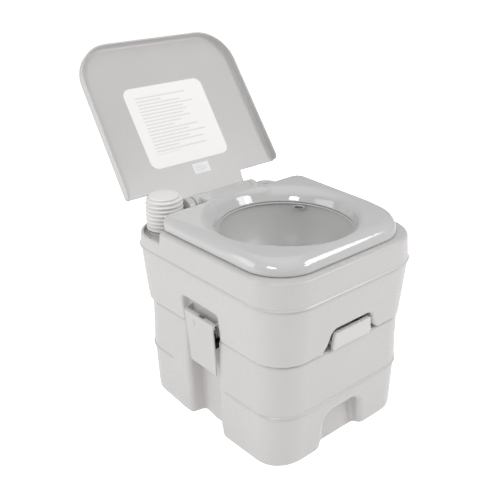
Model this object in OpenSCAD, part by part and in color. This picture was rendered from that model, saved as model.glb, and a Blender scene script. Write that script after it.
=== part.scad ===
// Portable camp toilet: a waste tank, a fresh-water tank latched on top of it,
// an oval bowl, a lift-up seat and lid on one hinge rod, a bellows flush pump,
// a filler cap, a pull-out slide valve and two side latches.
// Millimetres. Origin at the centre of the base on the floor, +Z up,
// front of the toilet towards -Y, +X to the right seen from the front.

/* [Body plan] */
// Half width of the body at the belt line, rear
half_rear = 179; // [150:0.5:220]
// Half width of the body at the belt line, front
half_front = 171; // [140:0.5:210]
// Half depth of the body at the belt line
half_depth = 200; // [170:1:240]
// Corner radius of the body at the front
corner_front = 72; // [30:1:90]
// Corner radius of the body at the rear
corner_rear = 74; // [30:1:90]
// Wall thickness of both tanks
wall = 3; // [2.5:0.5:6]

/* [Heights] */
// Height of the joint between the two tanks
joint_z = 198; // [150:1:260]
// Height of the moulded belt on the waste tank
low_belt_z = 101; // [60:1:150]
// Height of the moulded belt on the fresh-water tank
belt_z = 306; // [240:1:340]
// Height of the deck the seat rests above
deck_z = 349; // [300:1:380]
// Height of the rear shelf carrying the pump and the filler cap
shelf_z = 320; // [290:1:340]
// Height of the rim round the outer edge of the rear shelf
rim_h = 8; // [4:1:14]

/* [Bowl and seat] */
// Half width of the seat opening
open_a = 116; // [80:1:125]
// Half depth of the seat opening
open_b = 119.5; // [90:0.5:130]
// Position of the opening centre along Y
bowl_y = -31; // [-60:1:0]
// Radius of the bowl outlet
outlet_r = 44; // [35:1:60]
// Half width of the seat at the rear
seat_rear_w = 164; // [140:1:180]
// Half width of the seat at the front
seat_front_w = 156; // [140:1:175]
// Front edge of the seat
seat_front_y = -181.5; // [-200:0.5:-160]
// Rear edge of the seat
seat_rear_y = 111.5; // [90:0.5:125]
// Thickness of the seat
seat_t = 24; // [10:0.5:30]

/* [Hinge and lid] */
// Hinge rod position along Y
hinge_y = 149; // [140:1:170]
// Hinge rod height
hinge_z = 353.5; // [340:0.5:365]
// Hinge rod radius
rod_r = 3; // [2:0.25:5]
// Radial running clearance on the hinge rod and latch pins
run_gap = 0.05; // [0.02:0.01:0.1]
// Opening angle of the lid in the rest pose
lid_open = 125.5; // [95:0.5:135]
// Depth of the lid lip
lip = 15.5; // [8:0.5:22]

/* [Pump and filler] */
// Pump centre, distance from the centre plane
pump_x = 120.5; // [100:0.5:130]
// Pump and filler centre along Y
pump_y = 157; // [150:1:170]
// Outer radius of the bellows
bellows_r = 33.5; // [24:0.5:36]
// Number of bellows folds
folds = 8; // [4:1:10]
// Height of the top of the pump
pump_top_z = 388; // [370:1:395]

/* [Valve and latches] */
// Slide valve hole radius
valve_r = 50; // [40:1:52]
// Half width of the pull handle
handle_w = 46; // [30:1:50]
// Latch centre along Y
latch_y = -4.5; // [-40:0.5:20]
// Latch flap width
flap_w = 77; // [60:1:95]
// Latch flap height
flap_h = 98; // [80:1:110]
// Latch pivot height
latch_z = 226; // [215:1:235]

/* [Side channels] */
// Depth of the side channels of the waste tank
low_chan_d = 36; // [20:1:44]
// Depth of the latch recesses of the fresh-water tank
chan_d = 12; // [8:0.5:20]

/* [Part choice] */
// Node to draw

/* [Hidden] */
$fn = 64;
grey = [0.80, 0.79, 0.78];
seat_grey = [0.76, 0.77, 0.77];
white = [0.94, 0.93, 0.93];
dark = [0.18, 0.18, 0.19];
steel = [0.72, 0.72, 0.74];
seat_z = deck_z + 2.5;
lid_z = seat_z + seat_t + 2;
lid_front_y = seat_front_y - 5;
lid_rear_y = hinge_y - 44.5;
lid_w = lid_z - hinge_z;
barrel_r = 18;
chan_w = 91;
low_chan_w = 83;
chan_y = latch_y + 1;
low_chan_y = latch_y + 8;
side_x = half_rear - 12;
spout_x = 80;
spout_z = 146;

// ---- helpers ----
// four corner posts of the body plan, moved in by i, from z up by h
module posts(z, i, h = 0.02, k = 1) {
    rf = max(6, corner_front - i * k);
    rr = max(6, corner_rear - i * k);
    for (s = [-1, 1]) {
        translate([s * (half_front - i - rf), -half_depth + i + rf, z]) cylinder(r = rf, h = h, $fn = 48);
        translate([s * (half_rear - i - rr), half_depth - i - rr, z]) cylinder(r = rr, h = h, $fn = 48);
    }
}
// a solid lofted through a list of [z, inset] levels
module loft(lv, e = 0) {
    for (n = [0 : len(lv) - 2])
        hull() { posts(lv[n][0], lv[n][1] + e); posts(lv[n + 1][0] - 0.02, lv[n + 1][1] + e); }
}
// a box by its corners
module bx(a, b) { translate(a) cube(b - a); }
// a flat ring
module ring(r1, r2, h) { difference() { cylinder(r = r2, h = h); translate([0, 0, -1]) cylinder(r = r1, h = h + 2); } }
// the lid turned from closed to its rest pose
module lid_pose() { translate([0, hinge_y, hinge_z]) rotate([-lid_open, 0, 0]) translate([0, -hinge_y, -hinge_z]) children(); }
// plan of a tapered plate with rounded corners
module plate2d(wr, wf, yr, yf, rr, rf) {
    hull() for (s = [-1, 1]) {
        translate([s * (wf - rf), yf + rf]) circle(r = rf, $fn = 48);
        translate([s * (wr - rr), yr - rr]) circle(r = rr, $fn = 48);
    }
}
// side channel that the latch sits in, one side
module channel(s, z0, z1, d, w, yc, fl) {
    hull() {
        bx([min(s * (side_x - d), s * (side_x + 40)), yc - w / 2, z0], [max(s * (side_x - d), s * (side_x + 40)), yc + w / 2, z1]);
        bx([min(s * (side_x + 6), s * (side_x + 40)), yc - w / 2 - fl, z0], [max(s * (side_x + 6), s * (side_x + 40)), yc + w / 2 + fl, z1 + (z1 > joint_z + 2 ? 8 : 0)]);
    }
}
module both(s) { if (s < 0) children(); else mirror([1, 0, 0]) children(); }

// ---- waste tank ----
low_levels = [[0, 22], [4, 18], [12, 16], [50, 14.4], [low_belt_z - 2, 12.8], [low_belt_z + 2, 11.4], [150, 13.6], [joint_z - 6, 15.4], [joint_z - 0.4, 19]];
module waste_tank() color(grey) difference() {
    loft(low_levels);
    // inside
    difference() {
        loft([[wall, 22 + wall], [12, 16 + wall], [50, 14.4 + wall], [low_belt_z - 2, 12.8 + wall], [low_belt_z + 4, 11.6 + wall], [150, 13.6 + wall], [joint_z - 0.4 - wall, 16 + wall]]);
        for (s = [-1, 1]) channel(s, -1, joint_z + 1, low_chan_d + wall, low_chan_w + 2 * wall, low_chan_y, 9);
        bx([-66, -half_depth, -1], [66, -half_depth + 48, 76]);
        bx([spout_x - 56, half_depth - 66, spout_z - 46], [spout_x + 56, half_depth, joint_z - 8]);
    }
    // mouth under the slide valve
    translate([0, bowl_y, joint_z - 20]) cylinder(r = valve_r + 2, h = 40);
    // deep side channels behind the latches, open at the bottom
    for (s = [-1, 1]) channel(s, -1, joint_z + 1, low_chan_d, low_chan_w, low_chan_y, 9);
    // hand hold in the middle of the front
    hull() {
        bx([-60, -half_depth - 1, -1], [60, -half_depth + 40, 2]);
        bx([-52, -half_depth - 1, -1], [52, -half_depth + 40, 54]);
        bx([-42.5, -half_depth - 1, -1], [42.5, -half_depth + 40, 68]);
    }
    // recess round the pouring spout, and the spout hole
    hull() {
        bx([spout_x - 48, half_depth - 58, spout_z - 38], [spout_x + 48, half_depth + 1, spout_z + 38]);
        bx([spout_x - 52, half_depth - 8, spout_z - 42], [spout_x + 52, half_depth + 1, spout_z + 42]);
    }
    translate([spout_x, half_depth - 90, spout_z]) rotate([-90, 0, 0]) cylinder(r = 20, h = 60);
}
module spout_neck() color(grey) translate([spout_x, half_depth - 58, spout_z]) rotate([-90, 0, 0]) difference() {
    union() { cylinder(r = 24, h = 29); cylinder(r = 30, h = 2.6); for (z = [12, 19]) translate([0, 0, z]) cylinder(r = 25.2, h = 2.4); }
    translate([0, 0, -1]) cylinder(r = 20, h = 60);
}
module spout_gasket() color(dark) translate([spout_x, half_depth - 28.4, spout_z]) rotate([-90, 0, 0]) ring(16, 25.4, 2.8);
module spout_cap() color(grey) translate([spout_x, half_depth - 54.6, spout_z]) rotate([-90, 0, 0]) difference() {
    union() {
        cylinder(r = 30, h = 34);
        for (a = [0 : 30 : 330]) rotate([0, 0, a]) translate([29.6, 0, 4]) cylinder(r = 2.4, h = 30, $fn = 16);
        translate([-24, -5, 33]) cube([48, 10, 9]);
    }
    translate([0, 0, -1]) cylinder(r = 26, h = 30);
}
module latch_catch(s) both(s) {
    // a shelf on the channel floor with an edge for the hook
    bx([-(side_x - chan_d) - 5, latch_y - 20, 174], [-(side_x - low_chan_d) + 0.01, latch_y + 20, 181]);
    bx([-(side_x - chan_d) - 5, latch_y - 20, 168], [-(side_x - chan_d), latch_y + 20, 175]);
    for (t = [-1, 1]) bx([-(side_x - chan_d) - 1, latch_y + t * 17 - 2, 168], [-(side_x - low_chan_d) + 0.01, latch_y + t * 17 + 2, 175]);
    bx([-(side_x - low_chan_d) - 1.6, latch_y - 26, 162], [-(side_x - low_chan_d) + 0.01, latch_y + 26, 186]);
}
module latch_catch_left() color(grey) latch_catch(-1);
module latch_catch_right() color(grey) latch_catch(1);

// ---- slide valve ----
vb0 = joint_z - 0.4;
blade_w = valve_r + 5.5;
base_w = blade_w + 14;
module valve_base() color(grey) difference() {
    union() {
        bx([-base_w, bowl_y - 128, vb0], [base_w, bowl_y + 72, vb0 + 5]);
        for (s = [-1, 1]) bx([min(s * (blade_w + 0.5), s * base_w), bowl_y - 128, vb0 + 4.9], [max(s * (blade_w + 0.5), s * base_w), bowl_y + 72, vb0 + 8.8]);
        bx([-base_w, bowl_y + 62, vb0 + 4.9], [base_w, bowl_y + 72, vb0 + 8.8]);
    }
    translate([0, bowl_y, vb0 - 1]) cylinder(r = valve_r, h = 20);
    translate([0, bowl_y, vb0 + 4.2]) ring(valve_r + 1, valve_r + 4.5, 3);
    for (p = valve_holes) translate([p[0], p[1], vb0 + 2]) cylinder(r = 1.8, h = 20, $fn = 24);
}
valve_holes = [for (sx = [-1, 1], dy = [-74, 0, 62]) [sx * (base_w - 6), bowl_y + dy]];
module blade_seal() color(dark) translate([0, bowl_y, vb0 + 4.2]) ring(valve_r + 1, valve_r + 4.5, 1);
module valve_cover() color(grey) difference() {
    bx([-base_w, bowl_y - 82, vb0 + 8.8], [base_w, bowl_y + 72, vb0 + 12.6]);
    translate([0, bowl_y, vb0]) cylinder(r = valve_r, h = 30);
    for (p = valve_holes) translate([p[0], p[1], vb0 + 2]) cylinder(r = 2.1, h = 30, $fn = 24);
}
module bowl_gasket() color(dark) translate([0, bowl_y, vb0 + 12.6]) ring(valve_r + 0.5, valve_r + 9, 4.4);
module valve_screws() color(steel) for (p = valve_holes) translate([p[0], p[1], vb0 + 2.2]) {
    cylinder(r = 1.75, h = 10.6, $fn = 24);
    translate([0, 0, 10.4]) difference() {
        cylinder(r1 = 3.8, r2 = 3.2, h = 2.6, $fn = 32);
        for (a = [0, 90]) rotate([0, 0, a]) translate([-2.2, -0.45, 1.4]) cube([4.4, 0.9, 3]);
    }
}
module valve_blade() color(grey) {
    difference() {
        bx([-blade_w, bowl_y - 62, vb0 + 5.5], [blade_w, bowl_y + 60, vb0 + 8.4]);
        for (s = [-1, 1]) translate([s * blade_w, bowl_y + 60, vb0]) rotate([0, 0, 45]) translate([-10, -10, 0]) cube([20, 20, 20]);
    }
    bx([-34, -half_depth + 22, vb0 + 5.5], [34, bowl_y - 61.9, vb0 + 8.4]);
}
hz = joint_z + 0.6;
module valve_handle() color(white) difference() {
    union() {
        hull() {
            for (s = [-1, 1]) {
                translate([s * (handle_w - 3.4), -half_depth + 5, hz + 7.8]) rotate([-90, 0, 0]) cylinder(r = 3.4, h = 8, $fn = 32);
                translate([s * (handle_w - 7.4), -half_depth + 5, hz + 28.4]) rotate([-90, 0, 0]) cylinder(r = 3.4, h = 8, $fn = 32);
            }
        }
        hull() {
            bx([-handle_w + 4, -half_depth + 7, hz], [handle_w - 4, -half_depth + 14, hz + 7]);
            bx([-handle_w + 2, -half_depth + 9, hz], [handle_w - 2, -half_depth + 14, hz + 6]);
        }
        bx([-36, -half_depth + 12, hz], [36, -half_depth + 30, hz + 9.4]);
    }
    // slot that the blade tongue is fixed in
    bx([-34, -half_depth + 22, vb0 + 5.5], [34, -half_depth + 40, vb0 + 8.4]);
    for (s = [-1, 1]) translate([s * 22, -half_depth + 26, vb0 + 8]) cylinder(r = 1.6, h = 10, $fn = 24);
}
module handle_screws() color(steel) for (s = [-1, 1]) translate([s * 22, -half_depth + 26, vb0 + 8.4]) {
    cylinder(r = 1.55, h = 3, $fn = 24);
    translate([0, 0, 2.0]) cylinder(r = 3, h = 1.8, $fn = 32);
}

// ---- fresh-water tank ----
fz = joint_z + 0.2;
up_levels = [[fz, 14], [fz + 6, 10.2], [fz + 40, 6.8], [belt_z - 5, 1.2], [belt_z - 2, 0], [belt_z + 2, 0.4], [deck_z - 12, 3.6], [deck_z - 4, 5.6], [deck_z, 10.5]];
module bowl_hole(e, z0, z1) {
    // outer skin of the bowl grown by e, lofted between its levels
    for (n = [0 : len(bowl_levels) - 2]) hull() {
        translate([0, bowl_y, max(z0, bowl_levels[n][0])]) scale([bowl_levels[n][1] + e, bowl_levels[n][2] + e, 1]) cylinder(r = 1, h = 0.02);
        translate([0, bowl_y, min(z1, bowl_levels[n + 1][0])]) scale([bowl_levels[n + 1][1] + e, bowl_levels[n + 1][2] + e, 1]) cylinder(r = 1, h = 0.02);
    }
}
// outer levels of the bowl: height, half width, half depth
bowl_levels = [[joint_z + 17.4, outlet_r + 3, outlet_r + 3], [joint_z + 30, outlet_r + 4, outlet_r + 4], [joint_z + 44, outlet_r + 18, outlet_r + 22], [joint_z + 64, outlet_r + 40, outlet_r + 44], [joint_z + 94, open_a - 10, open_b - 10], [joint_z + 124, open_a + 1, open_b + 1], [deck_z - 0.4, open_a + 6, open_b + 6]];
module fresh_tank() color(grey) difference() {
    loft(up_levels);
    // water space
    difference() {
        loft([[fz + wall, 14 + wall], [fz + 6 + wall, 10.2 + wall], [fz + 40, 6.8 + wall], [belt_z - 2, wall + 0.6], [belt_z + 4, 0.8 + wall], [deck_z - 12, 3.8 + wall], [deck_z - wall, 6.5 + wall]]);
        bx([-220, 100 - wall, shelf_z - wall], [220, 260, 400]);
        bowl_hole(wall + 0.5, joint_z, deck_z);
        translate([0, bowl_y, joint_z]) cylinder(r = outlet_r + 8, h = 40);
        bx([-92, -half_depth, joint_z - 1], [92, bowl_y + 90, joint_z + 22]);
        bx([-70, -half_depth, joint_z - 1], [70, -half_depth + 60, joint_z + 43]);
        for (s = [-1, 1]) channel(s, joint_z - 1, latch_z + 22, chan_d + wall, chan_w + 2 * wall, chan_y, 6);
    }
    // bowl
    bowl_hole(0.5, joint_z, deck_z + 1);
    translate([0, bowl_y, deck_z - 0.5]) scale([open_a + 6.5, open_b + 6.5, 1]) cylinder(r = 1, h = 4);
    // space for the slide valve under the tank
    bx([-87, -half_depth + 40, joint_z - 1], [87, bowl_y + 86, joint_z + 17.6]);
    // notch at the front for the pull handle
    hull() {
        bx([-64, -half_depth - 1, joint_z - 1], [64, -half_depth + 50, joint_z + 0.4]);
        bx([-47, -half_depth - 1, joint_z - 1], [47, -half_depth + 50, joint_z + 38.5]);
    }
    // rear shelf with a rim round its outer edge
    difference() {
        union() {
            bx([-220, 100, shelf_z + rim_h], [220, 260, deck_z + 10]);
            intersection() {
                bx([-220, 100, shelf_z], [220, 260, deck_z + 10]);
                hull() posts(shelf_z - 1, 8, 60);
            }
        }
        bx([-84, 99, shelf_z - 1], [84, hinge_y - 24, deck_z - 3]);
    }
    translate([-pump_x, pump_y, shelf_z]) cylinder(r = bellows_r + 1.2, h = 40);
    // pump and filler holes
    translate([-pump_x, pump_y, shelf_z - 20]) cylinder(r = 22, h = 60);
    translate([pump_x, pump_y, shelf_z - 20]) cylinder(r = 20, h = 60);
    // way through for the flush nozzle
    nozzle_pose(-8) scale([3.2, 1, 1]) cylinder(r = 4, h = 26, $fn = 32);
    // latch recesses
    for (s = [-1, 1]) channel(s, joint_z - 1, latch_z + 18, chan_d, chan_w, chan_y, 6);
}
module bowl() color(seat_grey) difference() {
    union() {
        bowl_hole(0, joint_z, deck_z);
        translate([0, bowl_y, deck_z - 1]) scale([open_a + 6, open_b + 6, 1]) cylinder(r = 1, h = 2);
        translate([0, bowl_y, deck_z]) scale([open_a + 11, open_b + 11, 1]) cylinder(r = 1, h = 1.6);
    }
    // inside of the bowl
    for (n = [0 : len(bowl_levels) - 2]) hull() {
        translate([0, bowl_y, bowl_levels[n][0] - (n == 0 ? 1 : 0)]) scale([bowl_levels[n][1] - 3, bowl_levels[n][2] - 3, 1]) cylinder(r = 1, h = 0.02);
        translate([0, bowl_y, bowl_levels[n + 1][0]]) scale([bowl_levels[n + 1][1] - 3, bowl_levels[n + 1][2] - 3, 1]) cylinder(r = 1, h = 0.02);
    }
    translate([0, bowl_y, deck_z - 1]) scale([open_a + 3, open_b + 3, 1]) cylinder(r = 1, h = 5);
    // outlet of the flush nozzle
    nozzle_pose(-8) scale([3.2, 1, 1]) cylinder(r = 4, h = 40, $fn = 32);
}
// place on the bowl wall, at the right rear, where the flush water comes in
module nozzle_pose(d) translate([0, bowl_y, deck_z - 5.5]) rotate([0, 0, -54.9]) translate([0, open_b + d, 0]) rotate([-90, 0, 0]) children();
module flush_nozzle() color(seat_grey) nozzle_pose(2.5) difference() {
    translate([0, 0, -10]) scale([3.2, 1, 1]) cylinder(r = 3.8, h = 21.5, $fn = 32);
    translate([0, 0, -11]) scale([3.3, 1, 1]) cylinder(r = 2.7, h = 30, $fn = 32);
}
tube_x = 106.8;
tube_y = bowl_y + 75.1;
module flush_tube() color(white) difference() {
    union() {
        translate([8 - pump_x, pump_y, shelf_z - 22]) cylinder(r = 6, h = 16, $fn = 32);
        hull() {
            translate([8 - pump_x, pump_y, shelf_z - 20]) sphere(r = 6, $fn = 24);
            translate([30, 128, shelf_z - 16]) sphere(r = 5, $fn = 24);
        }
        hull() {
            translate([30, 128, shelf_z - 16]) sphere(r = 5, $fn = 24);
            translate([tube_x, tube_y, shelf_z - 16]) sphere(r = 5, $fn = 24);
        }
        translate([tube_x, tube_y, shelf_z - 17]) cylinder(r = 4.6, h = deck_z - 9.6 - shelf_z + 17, $fn = 32);
    }
    translate([8 - pump_x, pump_y, shelf_z - 19]) cylinder(r = 4, h = 30, $fn = 32);
    translate([tube_x, tube_y, shelf_z - 16]) cylinder(r = 3, h = 50, $fn = 32);
}
module suction_tube() color(white) translate([-8 - pump_x, pump_y, 0]) {
    translate([0, 0, joint_z + 12]) ring(4.5, 6.5, shelf_z - joint_z - 18);
    translate([0, 0, joint_z + 9]) ring(5.5, 10, 6);
}

// ---- hinge ----
module hinge_bracket() color(grey) difference() {
    union() {
        bx([-36, hinge_y - 22, shelf_z], [36, hinge_y + 14, shelf_z + 4]);
        for (s = [-1, 1]) hull() {
            translate([s * 27 - 8, hinge_y, hinge_z]) rotate([0, 90, 0]) cylinder(r = 9, h = 16, $fn = 32);
            bx([s * 27 - 8, hinge_y - 14, shelf_z + 0.5], [s * 27 + 8, hinge_y + 4, shelf_z + 4]);
        }
    }
    translate([-50, hinge_y, hinge_z]) rotate([0, 90, 0]) cylinder(r = rod_r, h = 100);
    for (s = [-1, 1]) translate([s * 8, hinge_y - 8, shelf_z - 1]) cylinder(r = 2.3, h = 10, $fn = 24);
}
module hinge_screws() color(steel) for (s = [-1, 1]) translate([s * 8, hinge_y - 8, shelf_z + 0.2]) {
    cylinder(r = 2.2, h = 4, $fn = 24);
    translate([0, 0, 3.8]) difference() {
        cylinder(r1 = 4.4, r2 = 3.4, h = 2.6, $fn = 32);
        for (a = [0, 90]) rotate([0, 0, a]) translate([-2.4, -0.5, 1.4]) cube([4.8, 1, 3]);
    }
}
module hinge_rod() color(steel) translate([-81.5, hinge_y, hinge_z]) rotate([0, 90, 0]) cylinder(r = rod_r, h = 163);

// ---- pump and filler ----
bel0 = shelf_z + 4;
bel1 = pump_top_z - 5;
module pump_base() color(grey) translate([-pump_x, pump_y, shelf_z]) difference() {
    union() {
        cylinder(r = 33, h = 4);
        translate([0, 0, -6]) cylinder(r = 21.8, h = 8);
    }
    translate([0, 0, -3]) cylinder(r = 18, h = 20);
    for (s = [-1, 1]) translate([s * 8, 0, -8]) cylinder(r = 4, h = 10, $fn = 32);
}
fold_h = (bel1 - bel0) / folds;
module pump_bellows() color(grey) translate([-pump_x, pump_y, bel0]) rotate_extrude()
    polygon(concat(
        [for (n = [0 : folds - 1], q = [[0.12, 27], [0.26, bellows_r], [0.74, bellows_r], [0.88, 27]]) [q[1] - (n == folds - 1 ? 1.6 : 0), (n + q[0]) * fold_h]],
        [[23.5, bel1 - bel0], [20.5, bel1 - bel0]],
        [for (n = [folds - 1 : -1 : 0], q = [[0.78, 24.4], [0.66, bellows_r - 2.4], [0.34, bellows_r - 2.4], [0.22, 24.4]]) [q[1] - (n == folds - 1 ? 1.6 : 0), (n + q[0]) * fold_h]],
        [[24, 0], [27, 0]]));
module pump_cap() color(grey) translate([-pump_x, pump_y, bel1 + 0.35]) {
    cylinder(r = 24.5, h = 2.6);
    translate([0, 0, 2.5]) cylinder(r1 = 24.5, r2 = 21, h = 1.6);
    translate([0, 0, 4]) cylinder(r1 = 21, r2 = 11, h = 0.7);
}
module filler_neck() color(grey) translate([pump_x, pump_y, shelf_z]) difference() {
    union() {
        cylinder(r = 27, h = 4);
        translate([0, 0, -6]) cylinder(r = 19.8, h = 8);
        cylinder(r = 21, h = 20);
        for (z = [8, 14]) translate([0, 0, z]) cylinder(r = 22, h = 2);
    }
    translate([0, 0, -8]) cylinder(r = 17.5, h = 60);
}
module filler_gasket() color(dark) translate([pump_x, pump_y, shelf_z + 20.4]) ring(14, 21.5, 2.6);
module filler_cap() color(grey) translate([pump_x, pump_y, shelf_z + 4.6]) difference() {
    union() {
        cylinder(r = 27, h = 21);
        translate([0, 0, 21]) cylinder(r1 = 27, r2 = 23, h = 4);
        translate([0, 0, 25]) cylinder(r1 = 23, r2 = 12, h = 2);
        for (a = [0 : 20 : 340]) rotate([0, 0, a]) translate([26.3, 0, 2]) cylinder(r = 1.8, h = 17, $fn = 16);
    }
    translate([0, 0, -1]) cylinder(r = 22.6, h = 19.4);
}

// ---- seat ----
module seat() color(seat_grey) difference() {
    union() {
        translate([0, 0, seat_z]) linear_extrude(height = seat_t - 9) plate2d(seat_rear_w, seat_front_w, seat_rear_y, seat_front_y, 22, 72);
        hull() {
            translate([0, 0, seat_z + seat_t - 9.1]) linear_extrude(height = 0.1) plate2d(seat_rear_w, seat_front_w, seat_rear_y, seat_front_y, 22, 72);
            translate([0, 0, seat_z + seat_t - 3.1]) linear_extrude(height = 0.1) plate2d(seat_rear_w - 4, seat_front_w - 4, seat_rear_y - 4, seat_front_y + 4, 18, 68);
            translate([0, 0, seat_z + seat_t - 0.1]) linear_extrude(height = 0.1) plate2d(seat_rear_w - 10, seat_front_w - 10, seat_rear_y - 10, seat_front_y + 10, 12, 62);
        }
        // tongue over the bracket ears, and hinge barrels
        translate([-57, 0, 0]) rotate([90, 0, 90]) linear_extrude(height = 114) polygon(tongue_yz);
        for (s = [-1, 1]) translate([s * 51.2 - 14.8, hinge_y, hinge_z]) rotate([0, 90, 0]) cylinder(r = barrel_r, h = 29.6);
    }
    translate([0, bowl_y, seat_z - 1]) scale([open_a / 100, open_b / 100, 1]) cylinder(r1 = 99.5, r2 = 112, h = seat_t + 2);
    translate([-90, hinge_y, hinge_z]) rotate([0, 90, 0]) cylinder(r = rod_r + run_gap, h = 180);
}
// side view of the tongue: flat top, hollow round the hinge axis
tongue_yz = concat(
    [[seat_rear_y - 11, seat_z + 1]],
    [for (a = [184 : -7 : 65]) [hinge_y + 10.4 * cos(a), hinge_z + 10.4 * sin(a)]],
    [for (a = [65 : 5 : 95]) [hinge_y + (barrel_r - 0.4) * cos(a), hinge_z + (barrel_r - 0.4) * sin(a)]],
    [[seat_rear_y - 11, seat_z + seat_t - 1]]);
bump_xy = [[-128, -120], [128, -120], [-142, 84], [142, 84]];
module seat_bumpers() color(dark) for (p = bump_xy) translate([p[0], p[1], deck_z + 0.35]) cylinder(r = 7, h = seat_z - deck_z - 0.35);

// ---- lid ----
module lid_panel() translate([0, 0, lid_z]) linear_extrude(height = 3.5) plate2d(seat_rear_w + 11.7, seat_front_w + 13.5, lid_rear_y, lid_front_y, 6, 68);
// the lip round three sides of the panel
module lid_lip() color(grey) lid_pose() difference() {
    translate([0, 0, lid_z - lip]) linear_extrude(height = lip) plate2d(seat_rear_w + 11.7, seat_front_w + 13.5, lid_rear_y, lid_front_y, 6, 68);
    translate([0, 0, lid_z - lip - 1]) linear_extrude(height = lip + 2) union() {
        plate2d(seat_rear_w + 8.7, seat_front_w + 10.5, lid_rear_y - 4, lid_front_y + 3, 6, 65);
        translate([-seat_rear_w - 8.5, lid_rear_y - 40]) square([2 * seat_rear_w + 17, 60]);
    }
}
module lid() color(grey) lid_pose() difference() {
    union() {
        lid_panel();
        // tongue down to the hinge
        hull() {
            bx([-87, lid_rear_y - 6, lid_z], [87, lid_rear_y - 2, lid_z + 3.5]);
            bx([-81.6, hinge_y - 4, lid_z], [81.6, hinge_y, lid_z + 3.5]);
        }
        for (s = [-1, 1]) hull() {
            bx([s * 74.2 - 7.4, hinge_y - 14, lid_z + 0.1], [s * 74.2 + 7.4, hinge_y, lid_z + 3.5]);
            translate([s * 74.2 - 7.4, hinge_y, hinge_z]) rotate([0, 90, 0]) cylinder(r = 14, h = 14.8, $fn = 48);
        }
    }
    translate([-100, hinge_y, hinge_z]) rotate([0, 90, 0]) cylinder(r = rod_r + run_gap, h = 200);
}
module lid_label() color(white) lid_pose() translate([-7.5, 0, lid_z - 0.3]) linear_extrude(height = 0.3)
    plate2d(87, 87, lid_rear_y - 44.6, lid_rear_y - 195, 16, 16);
module lid_sticker() color(white) lid_pose() translate([-16, lid_rear_y - 35.8, lid_z - 0.3]) cube([37, 20.4, 0.3]);

// ---- latches ----
px = -(side_x - chan_d) - 13;
module latch_flap(s) both(s) difference() {
    union() {
        hull() {
            translate([px, latch_y - flap_w / 2, latch_z]) rotate([-90, 0, 0]) cylinder(r = 4.6, h = flap_w, $fn = 32);
            bx([px - 4.6, latch_y - flap_w / 2, latch_z - 12], [px - 1.4, latch_y + flap_w / 2, latch_z - 8]);
        }
        hull() {
            bx([px - 4.6, latch_y - flap_w / 2, latch_z - 12], [px - 1.4, latch_y + flap_w / 2, latch_z - 8]);
            bx([px + 1.2, latch_y - flap_w / 2 + 4, latch_z - flap_h + 0.5], [px + 4.2, latch_y + flap_w / 2 - 4, latch_z - flap_h + 4]);
        }
        // hook nose inside
        bx([px - 0.6, latch_y - 16, latch_z - 66], [px + 7.6, latch_y + 16, latch_z - 60]);
    }
    translate([px, latch_y - 60, latch_z]) rotate([-90, 0, 0]) cylinder(r = 2, h = 120);
}
module latch_flap_left() color(white) latch_flap(-1);
module latch_flap_right() color(white) latch_flap(1);
module latch_pin(s) both(s) translate([px, latch_y - flap_w / 2 - 4.2, latch_z]) rotate([-90, 0, 0]) cylinder(r = 2, h = flap_w + 8.4);
module latch_pin_left() color(steel) latch_pin(-1);
module latch_pin_right() color(steel) latch_pin(1);
module latch_lugs(s) both(s) for (t = [-1, 1]) difference() {
    hull() {
        translate([px, latch_y + t * (flap_w / 2 + 2.2) - 1.75, latch_z]) rotate([-90, 0, 0]) cylinder(r = 4.4, h = 3.5, $fn = 32);
        bx([-(side_x - chan_d) - 1, latch_y + t * (flap_w / 2 + 2.2) - 1.75, latch_z - 7], [-(side_x - chan_d), latch_y + t * (flap_w / 2 + 2.2) + 1.75, latch_z + 9]);
    }
    translate([px, latch_y - 60, latch_z]) rotate([-90, 0, 0]) cylinder(r = 2 + run_gap, h = 120);
}
module latch_lugs_left() color(grey) latch_lugs(-1);
module latch_lugs_right() color(grey) latch_lugs(1);

waste_tank();
valve_base();
blade_seal();
valve_cover();
bowl_gasket();
valve_screws();
spout_neck();
spout_gasket();
spout_cap();
latch_catch_left();
latch_catch_right();
valve_blade();
valve_handle();
handle_screws();
fresh_tank();
bowl();
flush_nozzle();
flush_tube();
hinge_bracket();
hinge_screws();
hinge_rod();
pump_base();
pump_bellows();
suction_tube();
filler_neck();
latch_lugs_left();
latch_lugs_right();
pump_cap();
filler_cap();
filler_gasket();
seat();
seat_bumpers();
lid();
lid_lip();
lid_label();
lid_sticker();
latch_flap_left();
latch_pin_left();
latch_flap_right();
latch_pin_right();
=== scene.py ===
import math

import bpy
import numpy as np
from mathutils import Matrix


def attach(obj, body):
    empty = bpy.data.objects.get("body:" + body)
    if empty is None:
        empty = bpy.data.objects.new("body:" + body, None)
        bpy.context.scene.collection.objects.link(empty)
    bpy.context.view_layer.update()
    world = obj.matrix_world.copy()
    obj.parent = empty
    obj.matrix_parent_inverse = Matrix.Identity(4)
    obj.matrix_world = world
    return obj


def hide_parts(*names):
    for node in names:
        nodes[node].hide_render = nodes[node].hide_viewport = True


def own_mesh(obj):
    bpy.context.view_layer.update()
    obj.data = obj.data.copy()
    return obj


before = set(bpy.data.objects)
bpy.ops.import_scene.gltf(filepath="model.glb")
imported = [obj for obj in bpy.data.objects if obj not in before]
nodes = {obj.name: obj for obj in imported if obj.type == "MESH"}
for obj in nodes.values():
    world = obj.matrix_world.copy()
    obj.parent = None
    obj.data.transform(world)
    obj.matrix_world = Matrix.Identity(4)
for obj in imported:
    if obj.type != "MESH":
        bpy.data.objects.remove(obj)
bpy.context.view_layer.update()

scene = bpy.context.scene

# ---------------------------------------------------------------- distance functions (millimetres)


def rmax(a, b, r):
    """The part inside both a and b, with the edge between them rounded to r."""
    return np.minimum(np.maximum(a, b), -r) + np.sqrt(np.maximum(a + r, 0) ** 2 + np.maximum(b + r, 0) ** 2)


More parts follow.
